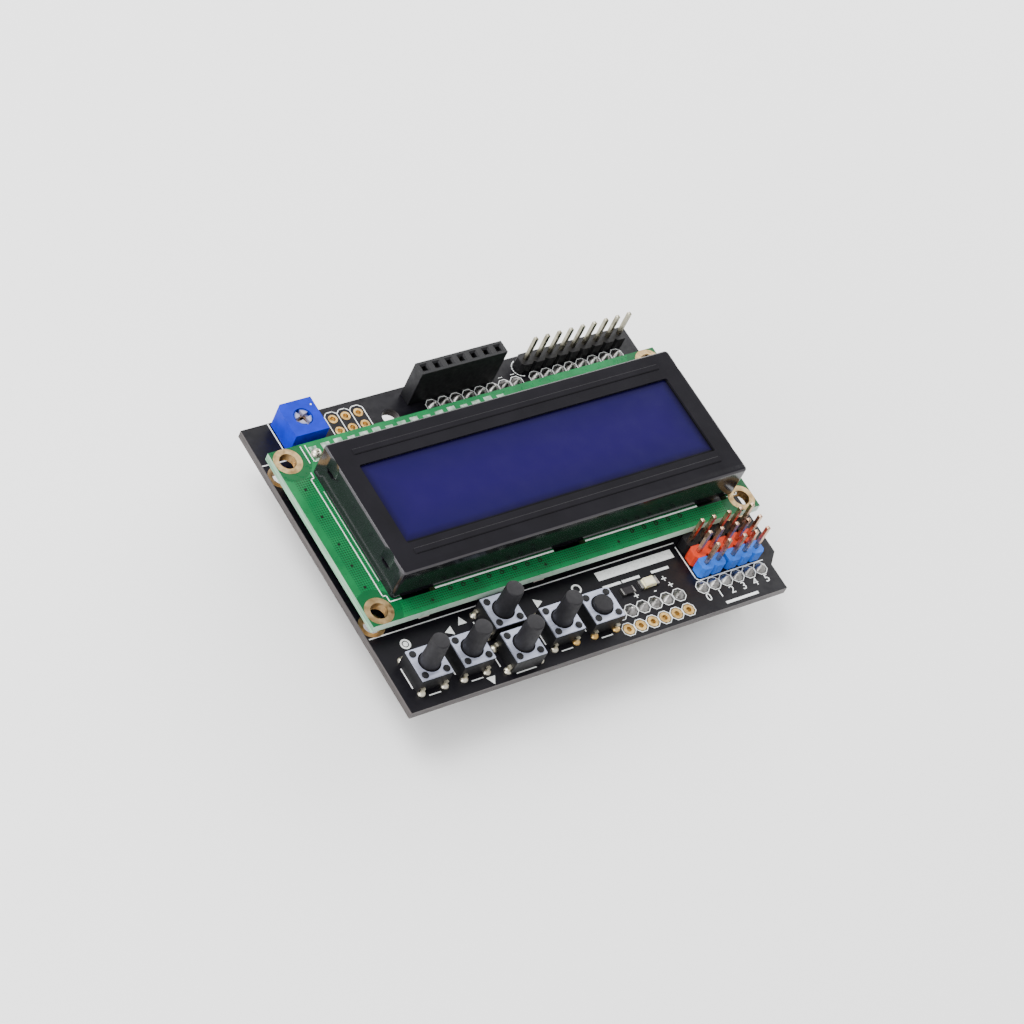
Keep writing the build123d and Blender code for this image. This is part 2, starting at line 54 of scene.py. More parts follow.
MM = 0.001
PITCH_MM = 2.54
PITCH = PITCH_MM * MM
ROOT = "board"
BUTTONS = ("select", "left", "up", "down", "right", "reset")
DIGITAL_ROWS = ("digital_low_pins", "digital_high_pins")
CONTROLLER_ROWS = DIGITAL_ROWS + ("power_pins", "analog_pins")
PIN_ROWS = CONTROLLER_ROWS + ("lcd_header_pins", "nine_pin_pins")
PIN_COUNTS = {
    "digital_low_pins": 8, "digital_high_pins": 8, "power_pins": 6, "analog_pins": 6,
    "lcd_header_pins": 16, "nine_pin_pins": 9, "module_socket_contacts": 7,
}

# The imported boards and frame, and the corner of the pin grid
board_low, board_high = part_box("shield_board")
lcd_low, lcd_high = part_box("lcd_board")
bezel_low, bezel_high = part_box("lcd_bezel")
GRID_X = board_low.x + 11.8 * MM
GRID_Y = board_low.y + PITCH
BOARD_TOP = board_high.z
BOARD_UNDER = board_low.z
LCD_TOP = lcd_high.z
FRAME_TOP = LCD_TOP + 6.9 * MM

# Measures shared by several pieces
LCD_HOLE_INSET = 2.5 * MM
CORNER_HOLE = 1.5 * MM
SMALL_HOLE = 0.5 * MM
LEG_X = 2.25 * MM
LEG_Y = 3.25 * MM
JOINT_STEPS = 18
JOINT_ANGLE = 60
RING_STEPS = 32
QUARTER_TURN = [i * math.pi / 12 for i in range(7)]
SIGNS = [(i, j) for i in (-1, 1) for j in (-1, 1)]

# The small pads' first column and their rows, in millimetres on the grid
SMALL_PADS_X = 4.98
SMALL_PAD_ROWS = (53.34, 50.8)


def grid(x, y):
    """A place on the carrier board's top face, in millimetres from the corner of the pin grid."""
    return Vector((GRID_X + x * MM, GRID_Y + y * MM, BOARD_TOP))


def middle(node):
    low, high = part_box(node)
    return (low + high) / 2


def pin_row(node, z):
    """The places of a row of pins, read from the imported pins."""
    count = PIN_COUNTS[node]
    centre = middle(node)
    first = -(count - 1) / 2
    return [Vector((centre.x + (first + i) * PITCH, centre.y, z)) for i in range(count)]


def signal_places(z):
    """The fifteen sensor pins: a pair and a triple in each of three rows."""
    places = []
    for color in ("blue", "red", "black"):
        low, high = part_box(f"signal_strip_{color}")
        y = (low.y + high.y) / 2
        xs = [low.x + (i + 0.5) * PITCH for i in range(2)]
        xs += [high.x - (i + 0.5) * PITCH for i in range(3)]
        places += [Vector((x, y, z)) for x in xs]
    return places


def lcd_corners(z):
    """The four ringed holes of the display board."""
    return [
        Vector((x, y, z))
        for x in (lcd_low.x + LCD_HOLE_INSET, lcd_high.x - LCD_HOLE_INSET)
        for y in (lcd_low.y + LCD_HOLE_INSET, lcd_high.y - LCD_HOLE_INSET)
    ]


def small_pad_places(z):
    """The six small pads, in two rows of three."""
    columns = [SMALL_PADS_X + PITCH_MM * i for i in range(3)]
    return [Vector((*grid(x, y).xy, z)) for x in columns for y in SMALL_PAD_ROWS]


def spare_places(z):
    """The six open holes in front of the power pins."""
    return [Vector((p.x, GRID_Y - 0.6 * MM, z)) for p in pin_row("power_pins", z)]


def button_turn(name):
    """The up and down buttons stand a quarter turn from the others."""
    return math.pi / 2 if name in ("up", "down") else 0.0


def button_legs(name, z):
    """The four legs of a button."""
    centre = middle(name + "_base")
    turn = Matrix.Rotation(button_turn(name), 3, "Z")
    spots = [Vector((i * LEG_X, j * LEG_Y, 0)) for i, j in SIGNS]
    return [Vector((centre.x, centre.y, z)) + turn @ spot for spot in spots]


# Properties that a user would change


def color_setting(name, description, default):
    return FloatVectorProperty(
        name=name, description=description, subtype="COLOR", size=3, min=0, max=1, default=default)


def number_setting(name, description, default, subtype="DISTANCE"):
    return FloatProperty(name=name, description=description, subtype=subtype, default=default)


class ModuleColors(bpy.types.PropertyGroup):
    carrier: color_setting("Carrier board", "Solder mask of the carrier board", (0.0028, 0.0024, 0.0044))
    display_board: color_setting("Display board", "Solder mask of the display board", (0.0025, 0.128, 0.036))
    print_white: color_setting("Print", "White print on both boards", (0.8, 0.82, 0.81))
    frame_paint: color_setting("Frame paint", "Gloss paint of the display frame", (0.0062, 0.0057, 0.0078))
    display: color_setting("Display", "Dark blue of the resting display", (0.0078, 0.003, 0.056))
    trimmer: color_setting("Trimmer", "Moulded body of the trimmer", (0.001, 0.013, 0.37))


class ModuleSizes(bpy.types.PropertyGroup):
    stroke: number_setting("Stroke", "Width of a printed line", 0.2 * MM)
    print_height: number_setting("Print height", "Thickness of the print", 0.02 * MM)
    pad_height: number_setting("Pad height", "Thickness of the plated pads", 0.03 * MM)
    pad_radius: number_setting("Pad radius", "Outer radius of a pin's pad", 1.02 * MM)
    solder_height: number_setting("Solder height", "Height of a solder joint", 1.05 * MM)


class ModuleStage(bpy.types.PropertyGroup):
    floor: color_setting("Floor", "Color of the floor", (0.96, 0.96, 0.96))
    key_power: number_setting("Key light", "Power of the high soft light behind", 7.5, "POWER")
    fill_power: number_setting("Other lights", "Power of the low lights at the sides and back", 4.0, "POWER")
    sky: number_setting("Surroundings", "Brightness of the white surroundings", 1.15, "NONE")
    lens: number_setting("Lens", "Focal length of the camera", 116.1, "DISTANCE_CAMERA")


# Shader helpers


def fill(node, values):
    """Sets a node's sockets by name."""
    for name, value in values.items():
        node.inputs[name].default_value = value


def shaded(name, color, roughness, metallic=0.0):
    """A material with its plain values on the shader's own sockets, and its object coordinates."""
    made = bpy.data.materials.new(name)
    made.use_nodes = True
    tree = made.node_tree
    shader = tree.nodes["Principled BSDF"]
    fill(shader, {"Base Color": (*color, 1), "Roughness": roughness, "Metallic": metallic})
    return made, tree, shader, tree.nodes.new("ShaderNodeTexCoord").outputs["Object"]


def stretched(tree, source, scale):
    """Object coordinates scaled unevenly, for brushed and layered patterns."""
    mapping = tree.nodes.new("ShaderNodeMapping")
    fill(mapping, {"Scale": scale})
    tree.links.new(source, mapping.inputs["Vector"])
    return mapping.outputs["Vector"]


def noise(tree, source, scale, detail):
    made = tree.nodes.new("ShaderNodeTexNoise")
    fill(made, {"Scale": scale, "Detail": detail, "Roughness": 0.55})
    tree.links.new(source, made.inputs["Vector"])
    return made.outputs["Fac"]


def ramp(tree, factor, stops):
    """A color ramp from (place, color) stops."""
    made = tree.nodes.new("ShaderNodeValToRGB")
    elements = made.color_ramp.elements
    while len(elements) < len(stops):
        elements.new(0.5)
    for element, (place, color) in zip(elements, stops):
        element.position = place
        element.color = (*color, 1)
    tree.links.new(factor, made.inputs["Fac"])
    return made.outputs["Color"]


def gray(value):
    return (value, value, value)


def tinted(color, factor):
    return tuple(min(1.0, c * factor) for c in color)


def mixed(tree, factor, first, second):
    """One color over another by a factor; each is a socket or a color."""
    made = tree.nodes.new("ShaderNodeMix")
    made.data_type = "RGBA"
    tree.links.new(factor, made.inputs[0])
    for place, value in ((6, first), (7, second)):
        if isinstance(value, tuple):
            made.inputs[place].default_value = (*value, 1)
        else:
            tree.links.new(value, made.inputs[place])
    return made.outputs[2]


def maths(tree, operation, first, second=0.0):
    made = tree.nodes.new("ShaderNodeMath")
    made.operation = operation
    for place, value in enumerate((first, second)):
        if isinstance(value, (int, float)):
            made.inputs[place].default_value = value
        else:
            tree.links.new(value, made.inputs[place])
    return made.outputs[0]


def times(tree, first, second):
    return maths(tree, "MULTIPLY", first, second)


def offsets(tree, source, centre):
    """How far a place is from a centre along X and along Y."""
    ways = [maths(tree, "SUBTRACT", axis_of(tree, source, name), centre[i]) for i, name in enumerate("XY")]
    return [maths(tree, "ABSOLUTE", way) for way in ways]


def distance(tree, spans):
    """The length of two spans at right angles."""
    squares = [times(tree, span, span) for span in spans]
    return maths(tree, "SQRT", maths(tree, "ADD", *squares))


def bumped(shader, height, strength, distance):
    tree = shader.id_data
    made = tree.nodes.new("ShaderNodeBump")
    fill(made, {"Strength": strength, "Distance": distance})
    tree.links.new(height, made.inputs["Height"])
    tree.links.new(made.outputs["Normal"], shader.inputs["Normal"])


def painted(shader, color):
    shader.id_data.links.new(color, shader.inputs["Base Color"])


def patchy(tree, source, scale, detail, first, second):
    """Two colors that run into each other in clouds."""
    return ramp(tree, noise(tree, source, scale, detail), ((0.3, first), (0.7, second)))


def gloss_range(shader, factor, low, high):
    tree = shader.id_data
    tree.links.new(ramp(tree, factor, ((0.3, gray(low)), (0.7, gray(high)))), shader.inputs["Roughness"])


def axis_of(tree, source, axis):
    split = tree.nodes.new("ShaderNodeSeparateXYZ")
    tree.links.new(source, split.inputs[0])
    return split.outputs[axis]


def inside(tree, source, across, along):
    """One within a range of X and a range of Y, nothing outside."""
    whole = 1.0
    for axis, (low, high) in (("X", across), ("Y", along)):
        value = axis_of(tree, source, axis)
        whole = times(tree, maths(tree, "GREATER_THAN", value, low), whole)
        whole = times(tree, maths(tree, "LESS_THAN", value, high), whole)
    return whole


def facing(tree, axis):
    """How far a face points along an axis, from minus one to one."""
    return axis_of(tree, tree.nodes.new("ShaderNodeNewGeometry").outputs["Normal"], axis)


def side_mask(tree):
    """One on upright faces, nothing on level ones."""
    return maths(tree, "LESS_THAN", maths(tree, "ABSOLUTE", facing(tree, "Z")), 0.5)


# Materials


def board_material(name, mask, edge_dark, edge_light, roughness):
    """Solder mask on the faces, and the cut glass-fibre edge with its layers on the sides."""
    made, tree, shader, place = shaded(name, mask, roughness)
    face = patchy(tree, place, 260, 5, tinted(mask, 0.8), tinted(mask, 1.25))
    layers = noise(tree, stretched(tree, place, (90, 90, 2600)), 1.0, 3)
    edge = ramp(tree, layers, ((0.35, edge_dark), (0.65, edge_light)))
    painted(shader, mixed(tree, side_mask(tree), face, edge))
    gloss_range(shader, noise(tree, place, 900, 3), roughness - 0.06, roughness + 0.08)
    fill(shader, {"Specular IOR Level": 0.23})
    return made, tree, shader, place


def carrier_material(colors):
    made, tree, shader, place = board_material(
        "carrier_mask", tuple(colors.carrier), (0.02, 0.016, 0.016), (0.058, 0.048, 0.046), 0.34)
    bumped(shader, noise(tree, place, 1400, 4), 0.12, 0.00004)
    return made


def display_board_material(colors):
    """Green mask over a dotted copper fill, with pale cut edges, a painted highlight on the front edge and
    painted shade on the inner walls.
    """
    mask = tuple(colors.display_board)
    made, tree, shader, place = board_material(
        "display_mask", mask, (0.07, 0.19, 0.11), (0.23, 0.38, 0.27), 0.3)
    cells = tree.nodes.new("ShaderNodeTexVoronoi")
    cells.voronoi_dimensions = "2D"
    dot_pitch = 0.43 * MM
    fill(cells, {"Scale": 1 / dot_pitch, "Randomness": 0.0})
    tree.links.new(place, cells.inputs["Vector"])
    dots = ramp(tree, cells.outputs["Distance"], ((0.24, gray(1)), (0.36, gray(0))))
    patches = ramp(tree, noise(tree, place, 110, 1), ((0.3, gray(0.55)), (0.45, gray(1))))
    level = maths(tree, "SUBTRACT", 1.0, side_mask(tree))
    side_margin = 1.5 * MM
    front_margin = 0.7 * MM
    corner = 6.4 * MM
    side_strip = inside(
        tree, place, (lcd_low.x + side_margin, bezel_low.x), (lcd_low.y + corner, lcd_high.y - corner))
    front_strip = inside(
        tree, place, (lcd_low.x + corner, lcd_high.x - corner), (lcd_low.y + front_margin, bezel_low.y))
    strips = maths(tree, "MAXIMUM", side_strip, front_strip)
    pattern = times(tree, times(tree, dots, patches), times(tree, level, strips))
    base = shader.inputs["Base Color"].links[0].from_socket
    base = mixed(tree, pattern, base, (0.002, 0.018, 0.004))
    bumped(shader, pattern, 0.2, 0.00003)
    # Painted highlight: the cut edge is painted palest where it faces the front, as if lit there
    front = maths(tree, "LESS_THAN", facing(tree, "Y"), -0.5)
    base = mixed(tree, front, base, (0.5, 0.68, 0.56))
    # Painted shade: upright walls inside the board's outline, such as the walls of the slots, are painted
    # dark for the shade in them
    rim = 0.3 * MM
    inner_shade_area = inside(tree, place, (lcd_low.x + rim, lcd_high.x - rim), (lcd_low.y + rim, lcd_high.y - rim))
    base = mixed(tree, times(tree, inner_shade_area, side_mask(tree)), base, (0.02, 0.028, 0.012))
    # The mask is darker round the corner rings, where no copper lies under it
    centre = middle("lcd_board")
    ring = lcd_corners(LCD_TOP)[-1]
    bare_reach = 4.1 * MM
    away = offsets(tree, place, centre)
    spans = [maths(tree, "SUBTRACT", away[axis], ring[axis] - centre[axis]) for axis in range(2)]
    bare = times(tree, maths(tree, "LESS_THAN", distance(tree, spans), bare_reach), level)
    painted(shader, mixed(tree, bare, base, tinted(mask, 0.62)))
    return made


def frame_material(colors):
    """Gloss black paint over pressed steel, with a painted highlight on the rounded edges."""
    paint = tuple(colors.frame_paint)
    made, tree, shader, place = shaded("frame_paint", paint, 0.3)
    face = patchy(tree, place, 140, 4, tinted(paint, 0.85), tinted(paint, 1.2))
    upward = maths(tree, "ABSOLUTE", facing(tree, "Z"))
    bend = ramp(tree, upward, ((0.12, gray(0)), (0.45, gray(1)), (0.88, gray(1)), (0.985, gray(0))))
    highlight_below_ribs = maths(tree, "LESS_THAN", axis_of(tree, place, "Z"), FRAME_TOP + 0.03 * MM)
    # Painted highlight: the rounded edges below the ribs are painted paler, as if they caught the light
    painted(shader, mixed(tree, times(tree, bend, highlight_below_ribs), face, (0.045, 0.043, 0.047)))
    gloss_range(shader, noise(tree, place, 420, 4), 0.13, 0.2)
    shine = ramp(tree, upward, ((0.3, gray(0.4)), (0.7, gray(0.13))))
    tree.links.new(shine, shader.inputs["Specular IOR Level"])
    return made


def display_material(colors):
    """The smooth film over a resting display: violet in the middle and bluer towards the rim, with painted
    shade that darkens it to black at the rim.
    """
    violet = tuple(colors.display)
    made, tree, shader, place = shaded("display_film", violet, 0.2)
    low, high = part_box("polarizer_front")
    half = (high - low) / 2
    away = offsets(tree, place, (low + high) / 2)
    inward = maths(tree, "MINIMUM", *[maths(tree, "SUBTRACT", half[axis], away[axis]) for axis in range(2)])
    rim = 1.35 * MM
    fade = 8 * MM
    cloud = times(tree, noise(tree, place, 60, 2), 0.03)
    depth = maths(tree, "ADD", times(tree, inward, 1 / fade), cloud)
    blue = (violet[0] * 0.75, violet[1] * 0.95, violet[2] * 0.82)
    start = rim / fade
    # Painted shade: a black band along the rim, darkening into the blue, where the frame's opening shades
    # the film
    tone = ramp(tree, depth, (
        (start, gray(0.0015)), (start + 0.05, tinted(blue, 0.55)), (start + 0.2, blue), (0.95, violet)))
    painted(shader, tone)
    gloss_range(shader, noise(tree, place, 300, 3), 0.16, 0.24)
    fill(shader, {"Specular IOR Level": 0.12})
    return made


def rotor_material():
    """Pale lavender plastic whose rim takes the blue of the well round it."""
    pale = (0.27, 0.26, 0.38)
    made, tree, shader, place = shaded("rotor_plastic", pale, 0.45)
    rotor_radius = 2 * MM
    reach = distance(tree, offsets(tree, place, middle("trimmer_rotor")))
    cloud = times(tree, noise(tree, place, 1600, 2), 0.08)
    reach = maths(tree, "ADD", times(tree, reach, 1 / rotor_radius), cloud)
    tone = ramp(tree, reach, (
        (0.2, tinted(pale, 0.75)), (0.5, pale), (0.68, tinted(pale, 0.9)), (0.76, (0.01, 0.04, 0.3))))
    painted(shader, tone)
    gloss_range(shader, noise(tree, place, 900, 3), 0.38, 0.55)
    return made


def glass_material():
    made, tree, shader, place = shaded("display_glass", (0.62, 0.7, 0.75), 0.06)
    gloss_range(shader, noise(tree, place, 500, 2), 0.04, 0.09)
    fill(shader, {"Transmission Weight": 0.6, "IOR": 1.5})
    return made


def moulded_material(name, color, roughness, grain_scale=2200, strength=0.2, shine=0.24):
    """Moulded plastic: a fine grain, slight flow clouds and uneven gloss."""
    made, tree, shader, place = shaded(name, color, roughness)
    painted(shader, patchy(tree, place, 500, 4, tinted(color, 0.82), tinted(color, 1.2)))
    gloss_range(shader, noise(tree, place, 1100, 3), roughness - 0.08, roughness + 0.1)
    bumped(shader, noise(tree, place, grain_scale, 5), strength, 0.00003)
    fill(shader, {"Specular IOR Level": shine})
    return made


def metal_material(name, dark, light, roughness, scale=700):
    """Plated metal with a patchy tone."""
    made, tree, shader, place = shaded(name, light, roughness, 1.0)
    painted(shader, patchy(tree, place, scale, 5, dark, light))
    gloss_range(shader, noise(tree, place, scale * 2, 3), roughness - 0.07, roughness + 0.12)
    bumped(shader, noise(tree, place, scale * 3, 3), 0.1, 0.00002)
    return made


def brushed_material(name, dark, light, roughness):
    """Rolled sheet metal with fine lines along X."""
    made, tree, shader, place = shaded(name, light, roughness, 0.85)
    lines = noise(tree, stretched(tree, place, (260, 9000, 9000)), 1.0, 4)
    painted(shader, ramp(tree, lines, ((0.3, dark), (0.7, light))))
    gloss_range(shader, lines, roughness - 0.06, roughness + 0.1)
    bumped(shader, lines, 0.12, 0.00002)
    return made


def print_material(colors):
    """White print ink with slightly ragged coverage."""
    ink = tuple(colors.print_white)
    made, tree, shader, place = shaded("white_print", ink, 0.55)
    painted(shader, ramp(tree, noise(tree, place, 2600, 4), ((0.25, tinted(ink, 0.72)), (0.5, ink))))
    bumped(shader, noise(tree, place, 4000, 3), 0.15, 0.00002)
    return made


def resin_material():
    """Milky yellow lens of the power light."""
    made, tree, shader, place = shaded("light_resin", (0.86, 0.80, 0.55), 0.3)
    painted(shader, patchy(tree, place, 900, 3, (0.75, 0.66, 0.38), (0.9, 0.86, 0.66)))
    fill(shader, {"Subsurface Weight": 0.3, "Subsurface Radius": (0.0006, 0.0005, 0.0002)})
    return made


# Moulded finishes: material name, color, roughness, and for some the grain's scale and strength
MOULDED = {
    "rubber": ("zebra_rubber", (0.09, 0.09, 0.1), 0.75),
    "guide": ("light_guide", (0.74, 0.78, 0.82), 0.35),
    "strip_light": ("strip_light", (0.75, 0.7, 0.35), 0.4),
    "epoxy": ("black_epoxy", (0.007, 0.007, 0.007), 0.55),
    "ceramic": ("chip_ceramic", (0.62, 0.58, 0.52), 0.4),
    "dark_chip": ("dark_chip", (0.02, 0.018, 0.02), 0.35),
    "header": ("header_plastic", (0.005, 0.0046, 0.0055), 0.5),
    "socket": ("socket_plastic", (0.0055, 0.0055, 0.0068), 0.5),
    "blue": ("blue_plastic", (0.016, 0.13, 0.62), 0.38),
    "red": ("red_plastic", (0.55, 0.04, 0.012), 0.4),
    # Painted shade inside the trimmer's cross slot
    "slot": ("slot_shade", (0.13, 0.085, 0.06), 0.6),
    "button_base": ("button_base", (0.006, 0.006, 0.007), 0.5),
    "plunger": ("plunger_plastic", (0.0085, 0.008, 0.0098), 0.6, 1500, 0.3),
    "hole_dark": ("hole_dark", (0.002, 0.008, 0.003), 0.7),
}

# Plated finishes: material name, dark and light tone, roughness, and for some the patches' scale
METALS = {
    "pin": ("tinned_pin", (0.16, 0.145, 0.1), (0.46, 0.44, 0.34), 0.28),
    "copper_pin": ("copper_pin", (0.3, 0.17, 0.1), (0.68, 0.48, 0.35), 0.28),
    # Painted reflection: this solder is painted darker than bare solder, for the dark surroundings its
    # joints mirror
    "tin": ("solder_tin", (0.1, 0.095, 0.09), (0.48, 0.47, 0.46), 0.32, 900),
    "leg_tin": ("leg_solder_tin", (0.52, 0.48, 0.38), (0.8, 0.77, 0.66), 0.34, 900),
    "pad_tin": ("pad_tin", (0.06, 0.2, 0.1), (0.58, 0.66, 0.6), 0.42),
    "contact": ("contact_metal", (0.6, 0.55, 0.4), (0.95, 0.9, 0.74), 0.4),
    "gold": ("gold_plating", (0.5, 0.28, 0.07), (0.86, 0.6, 0.24), 0.34),
    "copper_ring": ("ring_plating", (0.3, 0.19, 0.08), (0.6, 0.43, 0.22), 0.38),
}


def build_materials(colors):
    """Every finish of the module, by name."""
    made = {finish: moulded_material(*values) for finish, values in MOULDED.items()}
    made.update({finish: metal_material(*values) for finish, values in METALS.items()})
    made.update({
        "carrier": carrier_material(colors),
        "display_board": display_board_material(colors),
        "frame": frame_material(colors),
        "film": display_material(colors),
        "glass": glass_material(),
        "trimmer": moulded_material("trimmer_plastic", tuple(colors.trimmer), 0.5, 1600, 0.14, 0.12),
        "rotor": rotor_material(),
        "resin": resin_material(),
        "plate": brushed_material("button_plate", (0.42, 0.44, 0.56), (0.56, 0.6, 0.74), 0.42),
        "print": print_material(colors),
    })
    return made


# Filled by the finishes operator
MATERIALS = {}

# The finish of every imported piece
NODE_FINISHES = {
    "carrier": ("shield_board",),
    "display_board": ("lcd_board",),
    "frame": ("lcd_bezel",),
    "film": ("polarizer_front", "polarizer_rear"),
    "glass": ("lcd_glass_front", "lcd_glass_rear"),
    "rubber": ("zebra_strips",),
    "guide": ("backlight_guide",),
    "strip_light": ("backlight_led_board",),
    "epoxy": ("driver_chips", "backlight_transistor"),
    "ceramic": ("lcd_chip_resistors",),
    "dark_chip": ("led_resistor", "ladder_resistors"),
    "header": (*(row.replace("pins", "strip") for row in PIN_ROWS), "signal_strip_black"),
    "pin": PIN_ROWS,
    "copper_pin": ("signal_pins",),
    "contact": ("module_socket_contacts", "trimmer_leads", "switch_contacts", "switch_domes"),
    "socket": ("module_socket_body",),
    "blue": ("signal_strip_blue",),
    "red": ("signal_strip_red",),
    "trimmer": ("trimmer_body",),
    "rotor": ("trimmer_rotor",),
    "resin": ("power_led",),
    "button_base": tuple(name + "_base" for name in BUTTONS),
    "plate": tuple(name + "_cover" for name in BUTTONS),
    "plunger": tuple(name + "_plunger" for name in BUTTONS),
}


def coat_node(node, finish):
    """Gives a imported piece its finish."""
    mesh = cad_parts[node].data
    mesh.materials.clear()
    mesh.materials.append(MATERIALS[finish])


# Mesh helpers


def placed(name, data):
    """A new object in the scene."""
    made = bpy.data.objects.new(name, data)
    bpy.context.scene.collection.objects.link(made)
    return made


def finished(name, shape, finish, body=ROOT, angle=35):
    """Turns a bmesh into a named piece that rides on a body."""
    bmesh.ops.recalc_face_normals(shape, faces=shape.faces)
    mesh = bpy.data.meshes.new(name)
    for face in shape.faces:
        face.smooth = True
    shape.to_mesh(mesh)
    shape.free()
    mesh.set_sharp_from_angle(angle=math.radians(angle))
    mesh.materials.append(MATERIALS[finish])
    piece = placed(name, mesh)
    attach(piece, body)
    return piece


def turned(profile, steps):
    """A small mesh to stamp: a profile of (radius, height) points spun round the upright axis."""
    shape = bmesh.new()
    verts = [shape.verts.new((r, 0, z)) for r, z in profile]
    edges = [shape.edges.new(pair) for pair in zip(verts, verts[1:])]
    bmesh.ops.spin(
        shape, geom=verts + edges, cent=(0, 0, 0), axis=(0, 0, 1), angle=math.tau, steps=steps,
        use_merge=True)
    bmesh.ops.remove_doubles(shape, verts=shape.verts, dist=1e-7)
    bmesh.ops.recalc_face_normals(shape, faces=shape.faces)
    mesh = bpy.data.meshes.new("template")
    shape.to_mesh(mesh)
    shape.free()
    return mesh


def stamp(target, mesh, place, turn=0.0):
    """Copies a template to a place in another mesh."""
    count = len(target.verts)
    target.from_mesh(mesh)
    target.verts.ensure_lookup_table()
    fresh = target.verts[count:]
    bmesh.ops.rotate(target, verts=fresh, cent=(0, 0, 0), matrix=Matrix.Rotation(turn, 3, "Z"))
    bmesh.ops.translate(target, verts=fresh, vec=place)


def stamped(mesh, places, target=None, turn=0.0):
    """Copies a template to several places, in a new mesh if none is given."""
    target = target or bmesh.new()
    for place in places:
        stamp(target, mesh, place, turn)
    return target


def ring_template(inner, outer, height, steps=24):
    """A flat ring with a rectangular section."""
    profile = ((inner, 0), (outer, 0), (outer, height), (inner, height), (inner, 0))
    return turned(profile, steps)


def cut_at_board(shape, low, high):
    """Cuts off what reaches past a board's outline, a hair inside it, and closes the cuts."""
    hair = 0.02 * MM
    sides = (
        (low, hair, (-1, 0, 0)), (high, -hair, (1, 0, 0)), (low, hair, (0, -1, 0)), (high, -hair, (0, 1, 0)))
    for corner, step, normal in sides:
        point = Vector((corner.x + step, corner.y + step, 0))
        everything = shape.verts[:] + shape.edges[:] + shape.faces[:]
        bmesh.ops.bisect_plane(
            shape, geom=everything, dist=1e-8, plane_co=point, plane_no=normal, clear_outer=True)
        open_edges = [edge for edge in shape.edges if edge.is_boundary]
        if open_edges:
            bmesh.ops.holes_fill(shape, edges=open_edges, sides=0)
    if any(edge.is_boundary for edge in shape.edges):
        raise RuntimeError("A cut at the board's edge didn't close")


def disc_template(radius, height, steps=20):
    profile = ((0, 0), (radius, 0), (radius, height), (0, height))
    return turned(profile, steps)


def solder_template(radius, height, tip):
    """A solder joint: a wide foot that rises in a slightly bulging curve to a narrow tip."""
    profile = [(0, 0), (radius, 0)]
    rises = 6
    bend = 0.85
    for i in range(1, rises + 1):
        t = i / rises
        profile.append((tip + (radius - tip) * (1 - t) ** bend, height * t))
    profile.append((0, height))
    return turned(profile, JOINT_STEPS)


def blob_template(radius, height):
    """A rounded drop."""
    profile = [(0, 0)] + [(radius * math.cos(turn), height * math.sin(turn)) for turn in QUARTER_TURN]
    return turned(profile, JOINT_STEPS)


def plate(shape, low, high):
    """An upright-sided plate between two corners."""
    low, high = Vector(low), Vector(high)
    matrix = Matrix.Translation((low + high) / 2) @ Matrix.Diagonal((*(high - low), 1))
    bmesh.ops.create_cube(shape, size=1, matrix=matrix)


def stroke(shape, start, end, width, height):
    """One printed line with square ends."""
    run = end - start
    length = run.length + width
    turn = math.atan2(run.y, run.x)
    centre = (start + end) / 2 + Vector((0, 0, height / 2))
    scale = Matrix.Diagonal((length, width, height, 1))
    matrix = Matrix.Translation(centre) @ Matrix.Rotation(turn, 4, "Z") @ scale
    bmesh.ops.create_cube(shape, size=1, matrix=matrix)


def path(shape, points, width, height):
    """A printed line through several points."""
    for start, end in zip(points, points[1:]):
        stroke(shape, start, end, width, height)


def arc_points(centre, radius, start, end, steps):
    """Points round an arc, with angles in degrees."""
    turns = [math.radians(start + (end - start) * i / steps) for i in range(steps + 1)]
    return [centre + Vector((radius * math.cos(t), radius * math.sin(t), 0)) for t in turns]


def arrow(shape, centre, size, turn, height):
    """A solid printed triangle, turned by an angle."""
    made = bmesh.ops.create_circle(shape, cap_ends=True, radius=size, segments=3)
    verts = made["verts"]
    faces = list({face for vert in verts for face in vert.link_faces})
    lifted = bmesh.ops.extrude_face_region(shape, geom=faces)
    raised = [item for item in lifted["geom"] if isinstance(item, bmesh.types.BMVert)]
    bmesh.ops.translate(shape, verts=raised, vec=(0, 0, height))
    whole = verts + raised
    matrix = Matrix.Rotation(turn - math.pi / 2, 3, "Z")
    bmesh.ops.rotate(shape, verts=whole, cent=(0, 0, 0), matrix=matrix)
    bmesh.ops.translate(shape, verts=whole, vec=centre)


def glyph_mesh(text, size, height):
    """A plain figure from the built-in font, made a mesh centred on its place."""
    curve = bpy.data.curves.new("glyph", "FONT")
    curve.body = text
    curve.size = size
    curve.align_x = "CENTER"
    curve.align_y = "CENTER"
    curve.extrude = height / 2
    holder = bpy.data.objects.new("glyph", curve)
    mesh = bpy.data.meshes.new_from_object(holder)
    bpy.data.objects.remove(holder)
    mesh.transform(Matrix.Translation((0, 0, height / 2)))
    return mesh


class ModuleOperator(bpy.types.Operator):
    """Shared settings of the module's operators"""
    bl_options = {"REGISTER", "UNDO"}

    @property
    def sizes(self):
        return bpy.context.scene.module_sizes


class MODULE_OT_finishes(ModuleOperator):
    """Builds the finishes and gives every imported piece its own"""
    bl_idname = "module.finishes"
    bl_label = "Finishes"

    def execute(self, context):
        MATERIALS.update(build_materials(context.scene.module_colors))
        for finish, nodes in NODE_FINISHES.items():
            for node in nodes:
                coat_node(node, finish)
        return {"FINISHED"}


